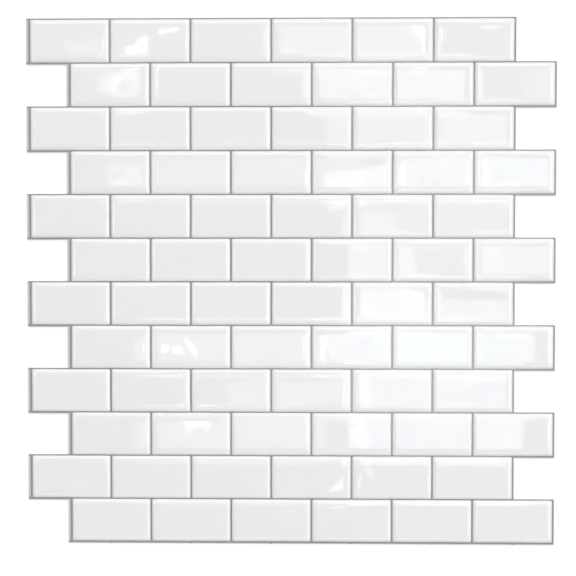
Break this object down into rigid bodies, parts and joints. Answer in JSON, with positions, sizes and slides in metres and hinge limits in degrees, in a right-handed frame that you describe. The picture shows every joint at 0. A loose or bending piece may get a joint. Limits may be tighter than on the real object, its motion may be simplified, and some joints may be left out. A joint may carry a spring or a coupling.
{
  "type": "peel and stick backsplash tile",
  "caption": "Self-adhesive wall tile sheet: white domed gel bricks in running bond on film with grey grout lines, with stepped sides that interlock with the next sheet, on a release liner.",
  "frame": {"origin": "centre of the sheet's bounding box, on the back of the release liner, where the sheet lies on a level surface", "axes": "+Z out of the tile face, +X along the rows of bricks to the right as the face is looked at, +Y up the wall, across the rows"},
  "size_m": [0.3072, 0.3062, 0.0019],
  "materials": {
    "white_gel": "gloss",
    "grey_film": "satin",
    "acrylic_adhesive": "satin",
    "liner_paper": "satin"
  },
  "bodies": {
    "root": {"release_liner": "liner_paper", "adhesive_layer": "acrylic_adhesive", "printed_film": "grey_film", "gel_row_01": "white_gel", "gel_row_02": "white_gel", "gel_row_03": "white_gel", "gel_row_04": "white_gel", "gel_row_05": "white_gel", "gel_row_06": "white_gel", "gel_row_07": "white_gel", "gel_row_08": "white_gel", "gel_row_09": "white_gel", "gel_row_10": "white_gel", "gel_row_11": "white_gel", "gel_row_12": "white_gel"}
  },
  "joints": []
}
